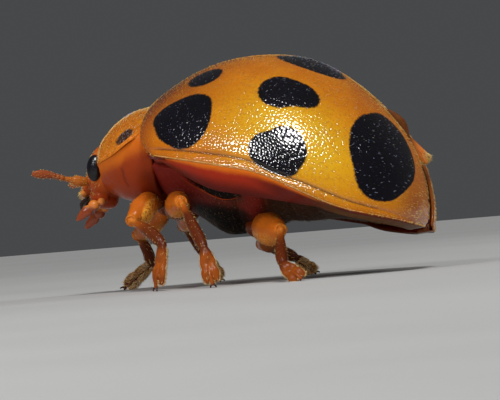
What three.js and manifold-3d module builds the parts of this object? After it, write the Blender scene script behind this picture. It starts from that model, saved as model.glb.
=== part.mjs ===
// A spotted ladybird beetle, life size, standing on six feet with its wing cases slightly parted.
// Millimetres, +Z up. The head looks along -X and the beetle's left side is -Y. The feet stand on Z = 0.
// The body is laid out level in a frame of its own, with its origin at the base of the wing cases on the
// midline: x runs back to the tip, y to the beetle's right, z up from the rim of the wing cases.
// placed() then tips that frame into the standing pose. The legs are laid out in the standing frame.
import * as THREE from "three";
import { mergeVertices } from "three/addons/utils/BufferGeometryUtils.js";
import Module from "manifold-3d";

const wasm = await Module();
wasm.setup();
const { Manifold, Mesh } = wasm;

// Pose of the body over the floor.
const PITCH = 13.5; // degrees, head up
const ROLL = 4.8; // degrees, left side up
const RIDE_HEIGHT = 3.24; // from the floor to the origin of the body frame
const GAP = 0.02; // clearance between neighbouring pieces

// Wing cases: a dome over a rim, seen from above an oval.
const CASE = {
  length: 7.35,
  halfWidth: 3.355,
  height: 3.19,
  thickness: 0.5,
  parting: 3.18, // degrees that each case is swung out from the midline
  widest: 0.45, // share of the length where the outline is widest
  baseWidth: 0.72, // share of the half width at the base
  tipWidth: 0.07, // share of the half width at the tip
  crest: 0.513, // share of the length where the dome is highest
  baseHeight: 0.419, // share of the height at the base
  tipHeight: 0.04, // share of the height at the tip
  shoulderSweep: 0.617, // how far the outer end of the front edge lies behind the inner end
  flange: 0.93, // share of the half width where the flat edge strip begins
  rimDip: 0.575, // how far the rim sinks towards the tip
  rimDipFrom: 0.443,
  rimDipTo: 0.85,
};
// Inner edge of the fold under the rim.
const EDGE_FOLD = { front: 0.03, middle: 0.6, to: 0.37, least: 0.13 };
const WING_DEPTH = { top: 0.57, bottom: 1.05 }; // folded hind wings, below the outside of the cases
const BODY_DEPTH = 1.11; // top of the abdomen, below the outside of the cases

// Pronotum: an arched shield that slopes down from the base of the wing cases to the head.
const SHIELD = {
  slope: 42, // degrees below the body's level
  rear: [-0.1, 1.4], // x and z of the middle of its hind edge
  rearHalfWidth: 2.0,
  frontHalfWidth: 1.3,
  midLength: 1.6,
  sideFront: 1.86, // how far down the slope the front corners reach
  sideRear: 0.33, // how far down the slope the hind corners lie
  crown: 0.18, // swelling along the midline
  arch: 0.8, // how far the hind corners drop
  frontArch: 0.44, // how far the front corners drop
  thickness: 0.36,
};

const HEAD = { at: [-1.12, 0, -0.42], size: [0.52, 0.9, 0.76] };
const EYE = { at: [-1.27, 0.87, -0.42], size: [0.2, 0.17, 0.34] };

const PROTHORAX = { at: [-0.3, 0, -0.03], size: [1.08, 1.6, 0.98], slope: SHIELD.slope, taper: 0.2 };
const WAIST = { normal: [0.953, 0, 0.304], at: 0.365 }; // between prothorax and the rest of the thorax
const CHEST_END = 2.62; // where the abdomen begins
const BODY_END = 6.55;

const SHANK = 0.235; // half thickness of tibiae
const FOOT = 0.25; // half width of the feet
const SOLE_CUT = 0.07; // how much of each foot's rounded end is cut away flat, level with the floor

// Joints of each leg in the standing frame, from the coxa's root by the midline to the toe, and the
// femur's half width.
const LEGS = {
  front_left: {
    root: [0.15, -0.32, 2.24], hip: [0.17, -0.93, 2.34], knee: [-0.04, -2.33, 1.77],
    ankle: [0.9, -2.91, 1.19], toe: [0.65, -3.01, 0], thigh: 0.4,
  },
  middle_left: {
    root: [0.78, -0.36, 1.94], hip: [0.69, -1.09, 2.07], knee: [1.41, -2.83, 2.13],
    ankle: [2.14, -3.76, 0.99], toe: [2.37, -4.03, 0], thigh: 0.3,
  },
  hind_left: {
    root: [2.7, -0.36, 1.42], hip: [2.86, -1.12, 1.38], knee: [3.86, -2.85, 1.25],
    ankle: [4.05, -3.88, 0.44], toe: [4.62, -4.2, 0], thigh: 0.36,
  },
  front_right: {
    root: [0.12, 0.32, 2.16], hip: [0.08, 0.76, 2.16], knee: [-1.16, 1.93, 1.41],
    ankle: [-0.91, 2.38, 0.69], toe: [-1.77, 2.2, 0], thigh: 0.36,
  },
  middle_right: {
    root: [0.72, 0.36, 1.9], hip: [0.61, 0.91, 2.01], knee: [-0.04, 2.47, 1.57],
    ankle: [0.33, 3.31, 0.72], toe: [0.64, 3.45, 0], thigh: 0.3,
  },
  hind_right: {
    root: [2.74, 0.36, 1.34], hip: [2.84, 1.06, 1.26], knee: [2.03, 2.54, 0.92],
    ankle: [2.71, 3.43, 0.5], toe: [3.21, 3.69, 0], thigh: 0.36,
  },
};

const COLOUR = {
  case: 0xe07b12,
  shield: 0xd9700f,
  flesh: 0xc4500f,
  belly: 0x2a1410,
  leg: 0xb8570f,
  foot: 0x9c3f12,
  eye: 0x0a0a0c,
  jaw: 0x1c0d08,
  wing: 0x9c5a1c,
};

const vec = (x, y, z) => new THREE.Vector3(x, y, z);
// 0 at both ends of a length and 1 in the middle, exactly 0 at the ends.
const swell = (u) => 2 * Math.sqrt(Math.max(u * (1 - u), 0));
const { smoothstep, clamp, lerp, degToRad } = THREE.MathUtils;
const sides = { left: -1, right: 1 };

// The body frame's axes, seen from the standing frame.
const up = vec(-Math.sin(degToRad(PITCH)), -Math.sin(degToRad(ROLL)), 0);
up.z = Math.sqrt(1 - up.lengthSq());
const back = vec(1, 0, 0).addScaledVector(up, -up.x).normalize();
const across = up.clone().cross(back);
const BODY = new THREE.Matrix4()
  .makeBasis(back, across, up)
  .transpose()
  .setPosition(0, 0, RIDE_HEIGHT);
const placed = (solid) => solid.transform([...BODY.elements]);

// A geometry as a closed solid whose faces look outwards.
function solidOf(geometry) {
  const bare = new THREE.BufferGeometry().setAttribute("position", geometry.attributes.position);
  bare.setIndex(geometry.index);
  const merged = mergeVertices(bare, 1e-5);
  const build = (triVerts) => new Manifold(new Mesh({
    numProp: 3,
    vertProperties: new Float32Array(merged.attributes.position.array),
    triVerts: new Uint32Array(triVerts),
  }));
  const index = [...merged.index.array];
  const solid = build(index);
  return solid.volume() > 0 ? solid : build(index.reverse());
}

// A geometry bent vertex by vertex, as a solid.
function shaped(geometry, bend) {
  const places = geometry.attributes.position;
  const vertex = vec(0, 0, 0);
  for (let i = 0; i < places.count; i++) {
    vertex.fromBufferAttribute(places, i);
    const moved = bend(vertex);
    places.setXYZ(i, moved.x, moved.y, moved.z);
  }
  return solidOf(geometry);
}

// A slab: bend(u, s, w) runs over three shares from 0 to 1, w being its thickness.
const slab = (alongParts, acrossParts, bend) =>
  shaped(new THREE.BoxGeometry(1, 1, 1, alongParts, acrossParts, 1), (p) =>
    bend(p.x + 0.5, p.y + 0.5, p.z + 0.5));

// An ellipsoid, boxier where square > 0, larger all round by grow, its front end tipped down by slope and
// narrowed by taper.
function egg({ at, size, slope = 0, taper = 0 }, around, rings, square = 0, grow = 0) {
  const tilt = new THREE.Matrix4().makeRotationY(-degToRad(slope)).setPosition(...at);
  return shaped(new THREE.SphereGeometry(1, around, rings), (p) => {
    const box = 1 + square * (1 - Math.max(Math.abs(p.x), Math.abs(p.y), Math.abs(p.z)));
    const moved = vec(...size.map((half, i) => p.getComponent(i) * box * (half + grow)));
    moved.y *= 1 + taper * p.x;
    return moved.applyMatrix4(tilt);
  });
}

// A limb along a curve: half sizes width(u) and depth(u), the width lying along the side direction.
function limb(points, side, width, depth, around = 8, rings = 7) {
  const path = new THREE.CatmullRomCurve3(points);
  return shaped(new THREE.SphereGeometry(1, around, rings), (p) => {
    const u = (1 - p.y) / 2;
    const turn = Math.atan2(p.z, p.x);
    const tangent = path.getTangent(clamp(u, 1e-3, 1 - 1e-3));
    const wide = side.clone().addScaledVector(tangent, -side.dot(tangent)).normalize();
    const deep = tangent.clone().cross(wide);
    return path.getPoint(u)
      .addScaledVector(wide, Math.cos(turn) * width(u))
      .addScaledVector(deep, Math.sin(turn) * depth(u));
  });
}

// A limb's profile: rounded ends on a body that goes from the first size to the last by way of the middle.
const profile = (start, middle, end, blunt = 0.45) => (u) => {
  const [from, to] = u < 0.5 ? [start, middle] : [middle, end];
  const share = u < 0.5 ? smoothstep(u, 0, 0.5) : smoothstep(u, 0.5, 1);
  return lerp(from, to, share) * swell(u) ** blunt;
};

const minus = (solid, ...cutters) => cutters.reduce((rest, cutter) => rest.subtract(cutter), solid);

// The largest body of a solid, with slivers from the cuts removed.
function clean(solid) {
  const bodies = solid.simplify(0.004).decompose();
  return bodies.sort((a, b) => b.volume() - a.volume())[0];
}

// --- Wing cases ------------------------------------------------------------------------------------

function outlineAt(u) {
  const { widest, baseWidth, tipWidth } = CASE;
  if (u < widest) {
    return lerp(baseWidth, 1, Math.sqrt(1 - (1 - u / widest) ** 2));
  }
  const rear = (u - widest) / (1 - widest);
  return lerp(tipWidth, 1, (1 - rear ** 2.585) ** (1 / 2.3));
}

function crestAt(u) {
  const { crest, baseHeight, tipHeight } = CASE;
  if (u < crest) {
    return lerp(baseHeight, 1, (1 - (1 - u / crest) ** 2.49) ** (1 / 1.3));
  }
  const rear = (u - crest) / (1 - crest);
  return lerp(tipHeight, 1, (1 - rear ** 2.43) ** (1 / 1.7));
}

const rimAt = (u) => -CASE.rimDip * smoothstep(u, CASE.rimDipFrom, CASE.rimDipTo);

// How far out and up the dome is at share s, from the midline (0) to the rim (1).
function archAt(s) {
  const quarter = Math.min(s / CASE.flange, 1) * Math.PI / 2;
  const out = s < CASE.flange ? CASE.flange * Math.sin(quarter) ** 1.1 : s;
  const rise = s < CASE.flange ? Math.max(Math.cos(quarter), 0) ** 1.09 : 0;
  return { out, rise };
}

// Sinks a place on the dome by a depth, towards a point under the crest.
const crestX = CASE.crest * CASE.length;
const sinkX = (x, depth) => (x < crestX ? x : crestX + (x - crestX) * (1 - depth / 3.9));
const sinkY = (y, depth) => y * (1 - depth / CASE.halfWidth);
const sinkZ = (z, depth) => z * (1 - depth / CASE.height);

// Height of the dome sunk by a depth, over a place in the body frame.
function roofAt(x, y, depth) {
  const x0 = x < crestX ? x : crestX + (x - crestX) / (1 - depth / 3.9);
  const u = clamp(x0 / CASE.length, 0, 1);
  const out = Math.abs(y) / (1 - depth / CASE.halfWidth) / (outlineAt(u) * CASE.halfWidth);
  const quarter = Math.asin(Math.min(out / CASE.flange, 1) ** (1 / 1.1));
  return sinkZ(CASE.height * crestAt(u) * Math.cos(quarter) ** 1.09, depth) + rimAt(u);
}

const midlineNotch = (x) => GAP + 0.24 * Math.max(0, 1 - x / 0.5);

function wingCase(side) {
  const swing = degToRad(CASE.parting);
  return slab(19, 11, (along, s, w) => {
    const u = (1 - Math.cos(Math.PI * along)) / 2;
    const depth = CASE.thickness * w;
    const { out, rise } = archAt(s);
    const x = sinkX(u * CASE.length + CASE.shoulderSweep * (1 - u) ** 3 * s ** 2.5, depth);
    const y = sinkY(out * outlineAt(u) * CASE.halfWidth, depth) + midlineNotch(x) * (1 - out);
    const fold = rimAt(u) + lerp(EDGE_FOLD.front, EDGE_FOLD.middle, smoothstep(u, 0, EDGE_FOLD.to));
    const drop = Math.max(fold, EDGE_FOLD.least) * w * smoothstep(s, 0.8, 1);
    const z = sinkZ(CASE.height * crestAt(u) * rise, depth) + rimAt(u) - drop;
    return vec(
      x * Math.cos(swing) - y * Math.sin(swing),
      side * (x * Math.sin(swing) + y * Math.cos(swing)),
      z,
    );
  });
}

// --- Folded hind wings -----------------------------------------------------------------------------

const bump = (x, at, reach, power = 2) => Math.exp(-(Math.abs((x - at) / reach) ** power));
// The left wing ends in a rounded fold that stands proud in the parting of the wing cases.
const LOBE = { at: 6.08, reach: 0.4, end: 6.47, proud: 0.34 };
// The right wing runs on behind it to a pointed end that rises clear of the cases.
const TIP = { at: 6.85, reach: 0.3, start: 6.45, end: 7.12, startZ: 1.7, endZ: 1.26, thickness: 0.4 };

// The line where the two folded wings meet, which gives the gap first to one and then to the other.
const seamAt = (x) => 0.24 * bump(x, LOBE.at, LOBE.reach, 4) - 0.26 * bump(x, TIP.at, TIP.reach);

function hindWing(side) {
  const end = side < 0 ? LOBE.end : TIP.end;
  return slab(16, 4, (along, s, w) => {
    const x = lerp(0.9, end, along ** 0.8);
    const shrink = smoothstep(x, 5.6, 6.4);
    const reach = lerp(0.5 * outlineAt(x / CASE.length) * CASE.halfWidth, 0.46, shrink);
    const y = side * GAP + seamAt(x) + side * reach * s ** 1.6;
    const inGap = 1 - smoothstep(Math.abs(y), 0.16, 0.27);
    let top = roofAt(x, y, WING_DEPTH.top);
    let bottom = roofAt(x, y, WING_DEPTH.bottom);
    if (side < 0) {
      top = lerp(top, roofAt(x, 0, 0) + LOBE.proud, bump(x, LOBE.at, LOBE.reach, 4) * inGap);
    } else {
      const share = (x - TIP.start) / (TIP.end - TIP.start);
      const raised = lerp(TIP.startZ, TIP.endZ, share);
      const rise = smoothstep(x, TIP.start - 0.15, TIP.start + 0.15);
      top = lerp(top, raised, rise * inGap);
      const under = raised - TIP.thickness * (1.1 - 0.4 * share);
      bottom = lerp(bottom, under, smoothstep(x, TIP.start, TIP.end - 0.2));
    }
    return vec(x, y, lerp(bottom, Math.max(top, bottom + 0.1), w));
  });
}

// --- Thorax and abdomen ----------------------------------------------------------------------------

// Depth of the underside below the rim, along the midline.
const KEEL = [[0, 0.95], [1.2, 1.2], [2.3, 1.52], [3.0, 1.36], [3.9, 0.9], [5.2, 0.66], [6.6, 0.6]];

function keelAt(x) {
  const next = Math.max(1, KEEL.findIndex(([at]) => at > x));
  const [[x0, d0], [x1, d1]] = [KEEL[next - 1], KEEL[next]];
  return lerp(d0, d1, smoothstep(x, x0, x1));
}

// A length of the trunk under the wing cases, closed at both ends.
function trunk(from, to, bluntFront, bluntRear) {
  return shaped(new THREE.SphereGeometry(1, 20, 12), (p) => {
    const u = (1 - p.y) / 2;
    const turn = Math.atan2(p.z, p.x);
    const x = lerp(from, to, u);
    const shut = swell(u) ** (u < 0.5 ? bluntFront : bluntRear);
    const half = CASE.flange * outlineAt(x / CASE.length) * CASE.halfWidth * 0.875 - 0.14;
    const y = half * shut * Math.cos(turn);
    const edge = rimAt(x / CASE.length) * 0.6 - 0.2;
    const top = Math.max(roofAt(x, half * Math.cos(turn), BODY_DEPTH), edge + 0.06);
    const under = lerp(-keelAt(x), edge, Math.abs(Math.cos(turn)) ** 1.7);
    const rise = Math.sin(turn) > 0 ? lerp(edge, top, Math.min(1, Math.sin(turn) * 2.5)) : under;
    return vec(x, y, lerp(edge, rise, shut));
  });
}

// --- Shield over the prothorax ---------------------------------------------------------------------

// The shield's surface: u from the hind to the front edge, v from -1 (left) to 1 (right).
function shieldPoint(u, v, lower) {
  const slope = degToRad(SHIELD.slope);
  const side = Math.abs(v);
  const half = lerp(SHIELD.rearHalfWidth, SHIELD.frontHalfWidth, u ** 1.9) + 0.1 * Math.sin(Math.PI * u);
  const start = SHIELD.sideRear * side ** 2.2;
  const end = lerp(SHIELD.midLength, SHIELD.sideFront, side ** 3) - 0.12 * side ** 8;
  const down = lerp(start, end, u);
  const corner = lerp(SHIELD.arch, SHIELD.frontArch, u);
  const rise = SHIELD.crown * Math.sin(Math.PI * clamp(u, 0, 1)) * (1 - v * v) - corner * side ** 2.3;
  return vec(
    SHIELD.rear[0] - down * Math.cos(slope) - rise * Math.sin(slope),
    v * (half - 0.35 * lower * side ** 4),
    SHIELD.rear[1] - down * Math.sin(slope) + rise * Math.cos(slope) - lower,
  );
}

const shieldSlab = (top, bottom) => slab(6, 12, (u, v, w) =>
  shieldPoint(u, v * 2 - 1, lerp(bottom, top, w)));

// --- Body pieces in the body frame -----------------------------------------------------------------

const eyeEgg = (side, grow) =>
  egg({ ...EYE, at: [EYE.at[0], side * EYE.at[1], EYE.at[2]] }, 10, 8, 0, grow);
const headEgg = (grow) => egg(HEAD, 14, 10, 0.12, grow);
const prothoraxEgg = (grow) => egg(PROTHORAX, 16, 10, 0.1, grow);
const lipTop = (grow) => egg({ at: [-1.62, 0, -1.06], size: [0.2, 0.36, 0.22] }, 9, 6, 0.1, grow);
const lipLow = (grow) => egg({ at: [-1.12, 0, -1.16], size: [0.34, 0.42, 0.24] }, 9, 6, 0.1, grow);

const parts = {};
const body = {};
for (const [name, side] of Object.entries(sides)) {
  body[`elytron_${name}`] = wingCase(side);
  body[`hindwing_${name}`] = hindWing(side);
  body[`eye_${name}`] = eyeEgg(side, 0);
}

body.scutellum = slab(3, 3, (u, s, w) => {
  const x = lerp(-0.02, 0.42, u);
  return vec(x, (s - 0.5) * 2 * (0.005 + 0.19 * (1 - u)), roofAt(x, 0, 0) - lerp(0.38, -0.02, w));
});

const waist = WAIST.normal;
const shieldCutter = shieldSlab(-2, SHIELD.thickness + GAP);
body.pronotum = shieldSlab(0, SHIELD.thickness);
const eyeCutters = Object.values(sides).map((side) => eyeEgg(side, GAP));
body.head = minus(headEgg(0), shieldCutter, ...eyeCutters);
body.prothorax = minus(prothoraxEgg(0), shieldCutter, headEgg(GAP), ...eyeCutters)
  .trimByPlane(waist.map((n) => -n), GAP - WAIST.at);
body.thorax = trunk(0, 4, 0.35, 0.35)
  .trimByPlane(waist, WAIST.at + GAP)
  .trimByPlane([-1, 0, 0], -CHEST_END);
body.abdomen = trunk(0.2, BODY_END, 0.3, 0.42)
  .trimByPlane([1, 0, 0], CHEST_END + 2 * GAP);

// Mouth parts and feelers.
body.upper_lip = minus(lipTop(0), headEgg(GAP));
body.lower_lip = minus(lipLow(0), headEgg(GAP));
for (const [name, side] of Object.entries(sides)) {
  const jaw = [
    vec(-1.42, side * 0.22, -1.14), vec(-1.6, side * 0.24, -1.32), vec(-1.58, side * 0.1, -1.46),
  ];
  body[`mandible_${name}`] = minus(
    limb(jaw, vec(0, 1, 0), profile(0.13, 0.12, 0.05), profile(0.15, 0.14, 0.06)),
    headEgg(GAP), lipTop(GAP), lipLow(GAP),
  );
  const palp = [
    vec(-1.1, side * 0.5, -1.1), vec(-1.26, side * 0.62, -1.4), vec(-1.54, side * 0.74, -1.8),
  ];
  body[`palp_${name}`] = minus(
    limb(palp, vec(1, 0, -1), profile(0.16, 0.21, 0.19, 0.6), profile(0.16, 0.21, 0.17, 0.6)),
    headEgg(GAP), lipLow(GAP),
  );
  const scape = [
    vec(-1.42, side * 0.64, -0.76), vec(-1.66, side * 0.86, -0.78), vec(-1.98, side * 1.12, -0.78),
  ];
  const club = [
    vec(-1.99, side * 1.14, -0.78), vec(-2.28, side * 1.36, -0.76), vec(-2.62, side * 1.62, -0.82),
  ];
  body[`antenna_base_${name}`] = minus(
    limb(scape, vec(0, 0, 1), profile(0.24, 0.22, 0.2), profile(0.24, 0.22, 0.2)),
    headEgg(GAP), ...eyeCutters,
  );
  body[`antenna_club_${name}`] = minus(
    limb(club, vec(0, 0, 1), profile(0.22, 0.25, 0.22), profile(0.22, 0.24, 0.21)),
    limb(scape, vec(0, 0, 1), profile(0.26, 0.24, 0.22), profile(0.26, 0.24, 0.22)),
  );
}
for (const [name, solid] of Object.entries(body)) {
  parts[name] = placed(solid);
}

// --- Legs in the standing frame --------------------------------------------------------------------

const bodyCutters = [
  placed(minus(prothoraxEgg(GAP), shieldCutter)),
  placed(trunk(0, 4, 0.35, 0.35).trimByPlane([-1, 0, 0], -CHEST_END)).translate([0, 0, -GAP]),
  placed(trunk(0.2, BODY_END, 0.3, 0.42)).translate([0, 0, -GAP]),
];

for (const [name, leg] of Object.entries(LEGS)) {
  const [root, hip, knee, ankle, toe] = [leg.root, leg.hip, leg.knee, leg.ankle, leg.toe]
    .map((p) => vec(...p));
  const upright = vec(0, 0, 1);
  const bow = knee.clone().lerp(hip, 0.5).add(vec(0, 0, 0.06));
  const femur = (grow) => limb(
    [hip, bow, knee], upright,
    profile(0.24 + grow, leg.thigh + grow, 0.24 + grow),
    profile(0.22 + grow, 0.28 + grow, 0.22 + grow), 10, 7,
  );
  const shin = knee.clone().lerp(ankle, 0.5).add(vec(0, 0, -0.04));
  const tibia = (grow) => limb(
    [knee, shin, ankle], upright,
    profile(SHANK + grow, SHANK + grow, 0.25 + grow),
    profile(SHANK + grow, SHANK + grow, 0.25 + grow), 8, 7,
  );
  const coxa = limb([root, hip.clone().lerp(root, 0.5), hip], upright,
    profile(0.3, 0.32, 0.28), profile(0.36, 0.36, 0.28), 8, 5);
  const sole = toe.clone().add(vec(0, 0, -SOLE_CUT));
  const instep = ankle.clone().lerp(sole, 0.45);
  const stalk = limb([ankle, ankle.clone().lerp(instep, 0.5), instep], vec(1, 0, 0),
    profile(0.19, 0.22, FOOT), profile(0.19, 0.21, 0.2), 8, 5);
  const pad = limb([ankle.clone().lerp(sole, 0.3), instep.clone().lerp(sole, 0.4), sole], vec(1, 0, 0),
    profile(FOOT, FOOT + 0.03, 0.18), profile(0.2, 0.22, 0.18), 9, 7);
  parts[`femur_${name}`] = minus(femur(0), ...bodyCutters);
  parts[`coxa_${name}`] = minus(coxa, femur(GAP), ...bodyCutters);
  parts[`tibia_${name}`] = minus(tibia(0), femur(GAP)).trimByPlane([0, 0, 1], 0.02);
  parts[`tarsus_${name}`] = minus(stalk.add(pad), tibia(GAP), femur(GAP)).trimByPlane([0, 0, 1], 0);
}

// --- Named meshes ----------------------------------------------------------------------------------

const LOOKS = [
  [/^elytron/, COLOUR.case, 0.35],
  [/^pronotum|^scutellum/, COLOUR.shield, 0.4],
  [/^eye/, COLOUR.eye, 0.15],
  [/^mandible/, COLOUR.jaw, 0.3],
  [/^hindwing/, COLOUR.wing, 0.5],
  [/^thorax|^abdomen/, COLOUR.belly, 0.5],
  [/^tarsus|^antenna_club/, COLOUR.foot, 0.5],
  [/^tibia|^femur|^coxa|^antenna_base/, COLOUR.leg, 0.4],
  [/./, COLOUR.flesh, 0.45],
];

function meshOf(name, solid) {
  const { numProp, vertProperties, triVerts } = clean(solid).getMesh();
  const places = new Float32Array((vertProperties.length / numProp) * 3);
  for (let i = 0; i * numProp < vertProperties.length; i++) {
    places.set(vertProperties.subarray(i * numProp, i * numProp + 3), i * 3);
  }
  const geometry = new THREE.BufferGeometry()
    .setAttribute("position", new THREE.BufferAttribute(places, 3))
    .setIndex(new THREE.BufferAttribute(triVerts, 1));
  const [, color, roughness] = LOOKS.find(([pattern]) => pattern.test(name));
  const mesh = new THREE.Mesh(geometry, new THREE.MeshStandardMaterial({ color, roughness, metalness: 0 }));
  mesh.name = name;
  return mesh;
}

const ladybird = new THREE.Group();
for (const [name, solid] of Object.entries(parts)) {
  ladybird.add(meshOf(name, solid));
}

// The origin is the middle of the footprint box, on the floor.
const box = new THREE.Box3().setFromObject(ladybird);
const middle = box.getCenter(vec(0, 0, 0));
for (const mesh of ladybird.children) {
  mesh.geometry.translate(-middle.x, -middle.y, 0);
}

export default ladybird;
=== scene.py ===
"""A spotted orange ladybird on a pale studio floor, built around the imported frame.

Lengths in the shape code are millimetres, in one of two frames. The body frame has its origin at the base
of the wing cases: x runs back, y to the beetle's right, z up. The standing frame has the floor at z = 0.
on_floor() and stood() turn them into the frame's metres.
"""
import math

import bpy
import numpy as np
from mathutils import Matrix, Vector


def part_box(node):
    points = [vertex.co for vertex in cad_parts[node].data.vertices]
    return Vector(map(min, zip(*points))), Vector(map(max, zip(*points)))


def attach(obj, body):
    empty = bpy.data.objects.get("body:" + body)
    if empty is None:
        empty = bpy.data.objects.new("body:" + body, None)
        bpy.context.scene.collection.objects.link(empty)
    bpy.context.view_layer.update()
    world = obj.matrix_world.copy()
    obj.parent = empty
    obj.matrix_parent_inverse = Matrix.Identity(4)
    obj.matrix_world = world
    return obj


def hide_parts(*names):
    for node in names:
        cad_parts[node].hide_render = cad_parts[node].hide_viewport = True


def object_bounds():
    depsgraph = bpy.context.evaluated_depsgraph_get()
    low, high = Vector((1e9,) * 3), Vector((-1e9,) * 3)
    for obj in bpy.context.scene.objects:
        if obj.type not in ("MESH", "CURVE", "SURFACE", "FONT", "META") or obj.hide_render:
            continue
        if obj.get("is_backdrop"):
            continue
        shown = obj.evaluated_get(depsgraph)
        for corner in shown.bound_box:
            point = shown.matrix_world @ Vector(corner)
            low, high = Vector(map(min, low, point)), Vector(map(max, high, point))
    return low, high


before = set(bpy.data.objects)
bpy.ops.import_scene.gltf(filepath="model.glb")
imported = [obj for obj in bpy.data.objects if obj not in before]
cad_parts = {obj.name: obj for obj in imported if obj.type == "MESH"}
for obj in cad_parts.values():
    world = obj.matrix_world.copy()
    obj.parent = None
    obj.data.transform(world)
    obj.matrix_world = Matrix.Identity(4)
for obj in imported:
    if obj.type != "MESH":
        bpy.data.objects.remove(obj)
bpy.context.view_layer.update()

MM = 0.001
SIDES = {"left": -1, "right": 1}
rng = np.random.default_rng(7)

# --- Sizes ---

PITCH, ROLL = math.radians(13.5), math.radians(4.8)  # head up, and leaning to its left
RIDE_HEIGHT = 3.24  # of the body frame's origin
LENGTH, HALF_WIDTH, HEIGHT = 7.35, 3.355, 3.19  # of the two wing cases together
WIDEST, CREST = 0.45, 0.513  # where they are widest and highest, in shares of the length
PARTING = math.radians(3.18)  # each one's turn out from the midline
GIRTH = 5.3  # from the midline over the dome to the rim
FLANGE = 0.93  # where the edge strip starts, as a share of the way out to the rim
FOLD_IN = 0.42  # how far the strip folded under the rim reaches in
SHELL = 0.12
DOME = 0.09  # distance between the domes of the fine grain
EYE_AT, EYE_SIZE = np.array([-1.27, 0.87, -0.42]), np.array([0.2, 0.17, 0.34])
SLOPE = math.radians(42)  # of the pronotum
HAIR_PATCH = 0.003  # side of each hair's patch on its OFBake map
STEP = 1e-3  # in shares of a surface, to find how it runs

# Spots of a wing case, each a union of ellipses: centre back along the case, centre out from the
# midline, and the two half sizes.
SPOTS = [
    [(1.5, 1.95, 0.43, 0.46)],
    [(1.38, 3.66, 0.74, 0.9), (1.0, 3.42, 0.56, 0.56), (1.5, 3.2, 0.52, 0.42), (1.1, 3.85, 0.5, 0.5)],
    [(3.62, 2.56, 0.53, 0.53), (4.2, 2.4, 0.46, 0.37), (3.9, 2.45, 0.5, 0.42)],
    [(4.25, 3.98, 0.54, 0.54), (3.84, 4.25, 0.54, 0.5), (4.15, 4.4, 0.5, 0.36)],
    [(3.86, 0.6, 0.92, 0.74)],
    [(6.35, 1.5, 0.63, 0.99), (6.3, 1.95, 0.71, 0.8), (6.27, 2.4, 0.745, 0.9),
     (6.3, 2.85, 0.67, 0.8), (6.4, 3.2, 0.55, 0.95), (6.45, 3.7, 0.4, 0.6)],
]
# Spots of the pronotum on each side: where along it, where out to its edge, and the two half sizes.
SHIELD_SPOTS = [(0.37, 0.89, 0.17, 0.085), (0.45, 0.24, 0.14, 0.1)]

# Joints of each leg in the standing frame: the coxa's root, hip, knee, ankle and toe. Then the femur's
# half height and half depth.
LEGS = {
    "front_left": ([.15, -.32, 2.24], [.17, -.93, 2.34], [-.04, -2.33, 1.77], [.9, -2.91, 1.19],
                   [.65, -3.01, 0], .35, .31),
    "middle_left": ([.78, -.36, 1.94], [.69, -1.09, 2.07], [1.41, -2.83, 2.13], [2.14, -3.76, .99],
                    [2.37, -4.03, 0], .34, .3),
    "hind_left": ([2.7, -.36, 1.42], [2.86, -1.12, 1.38], [3.86, -2.85, 1.25], [4.05, -3.88, .44],
                  [4.62, -4.2, 0], .42, .36),
    "front_right": ([.12, .32, 2.16], [.08, .76, 2.16], [-1.16, 1.93, 1.41], [-.91, 2.38, .69],
                    [-1.77, 2.2, 0], .36, .3),
    "middle_right": ([.72, .36, 1.9], [.61, .91, 2.01], [-.04, 2.47, 1.57], [.33, 3.31, .72],
                     [.64, 3.45, 0], .33, .28),
    "hind_right": ([2.74, .36, 1.34], [2.84, 1.06, 1.26], [2.03, 2.54, .92], [2.71, 3.43, .5],
                   [3.21, 3.69, 0], .4, .32),
}

# --- Numbers and places ---


def lerp(a, b, t):
    return a + (b - a) * t


def smooth(x, low, high):
    t = np.clip((x - low) / (high - low), 0, 1)
    return t * t * (3 - 2 * t)


def bump(x, at, reach, power=2):
    return np.exp(-np.abs((x - at) / reach) ** power)


def unit(v):
    v = np.asarray(v, float)
    return v / np.maximum(np.linalg.norm(v, axis=-1, keepdims=True), 1e-12)


def stops(t, *pairs):
    """A smooth line through (t, value) pairs."""
    at, value = np.array(pairs, float).T
    k = np.clip(np.searchsorted(at, t, "right") - 1, 0, len(at) - 2)
    return lerp(value[k], value[k + 1], smooth(t, at[k], at[k + 1]))


def circle(n):
    """Angles round a circle."""
    return np.linspace(0, 2 * math.pi, n, endpoint=False)


def eased(n, trim=0.0):
    """Steps from 0 to 1, finer towards the ends."""
    return (1 - np.cos(np.linspace(trim, math.pi - trim, n))) / 2


up = np.array([-math.sin(PITCH), -math.sin(ROLL), 0])
up[2] = math.sqrt(1 - up @ up)
back = unit(np.array([1, 0, 0]) - up * up[0])
TURN = np.stack([back, np.cross(up, back), up])


def tipped(p):
    """Body frame to standing frame."""
    return np.asarray(p, float) @ TURN.T + [0, 0, RIDE_HEIGHT]


# The left eye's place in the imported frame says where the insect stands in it.
low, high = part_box("eye_left")
SHIFT = tipped(EYE_AT * [1, -1, 1]) - np.array((low + high) / 2) / MM
SHIFT[2] = 0


def on_floor(p):
    return (np.asarray(p, float) - SHIFT) * MM


def stood(p):
    return on_floor(tipped(p))


# --- Meshes ---


def turned_out(verts, faces):
    """The faces, reversed if the closed mesh is inside out."""
    volume = 0
    for f in faces:
        for k in range(1, f.shape[1] - 1):
            a, b, c = verts[f[:, 0]], verts[f[:, k]], verts[f[:, k + 1]]
            volume += np.einsum("ij,ij->", a, np.cross(b, c))
    return faces if volume > 0 else [f[:, ::-1] for f in faces]


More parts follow.
